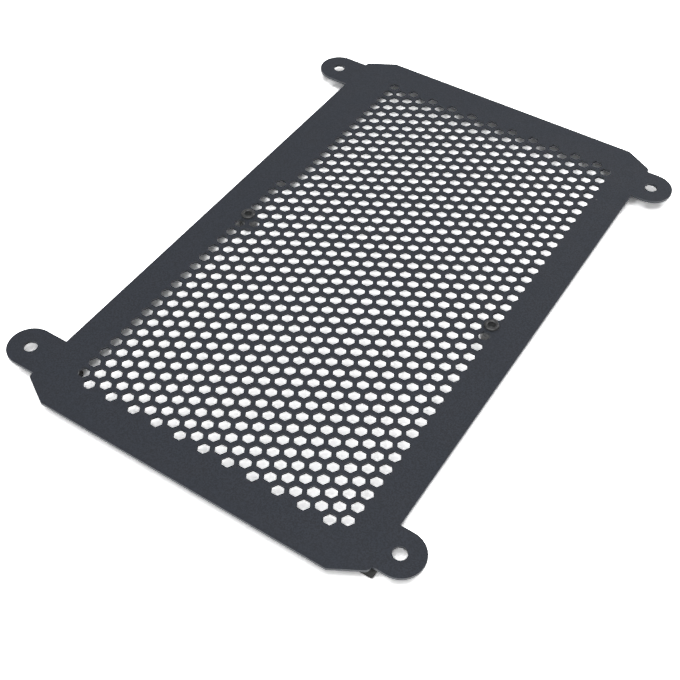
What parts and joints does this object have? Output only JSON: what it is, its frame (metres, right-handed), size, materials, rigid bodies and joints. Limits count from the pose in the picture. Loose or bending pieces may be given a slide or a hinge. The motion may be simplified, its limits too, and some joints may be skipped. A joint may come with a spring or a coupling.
{
  "type": "motorcycle radiator guard",
  "caption": "Flat perforated sheet-metal radiator guard with a hexagonal mesh, a solid border, drilled mounting ears, rubber bumpers and foam pads.",
  "frame": {"origin": "middle of the four ear holes, on the sheet's underside, which is the face that the ears mount by", "axes": "+X along the short edges, towards the pair of ears that stand out less; +Y along the long edges, away from the camera in the picture; +Z out of the sheet's top face, the face away from the radiator"},
  "size_m": [0.2224, 0.31, 0.0091],
  "materials": {
    "coated_metal": "matt black powder coat with a fine texture, on laser-cut sheet metal",
    "rubber": "smooth moulded black rubber",
    "foam": "matt black closed-cell foam with cut faces"
  },
  "bodies": {
    "root": {"sheet": "coated_metal", "bumper_left": "rubber", "bumper_right": "rubber", "pad_front_left": "foam", "pad_front_right": "foam", "pad_back_left": "foam", "pad_back_right": "foam"}
  },
  "joints": []
}
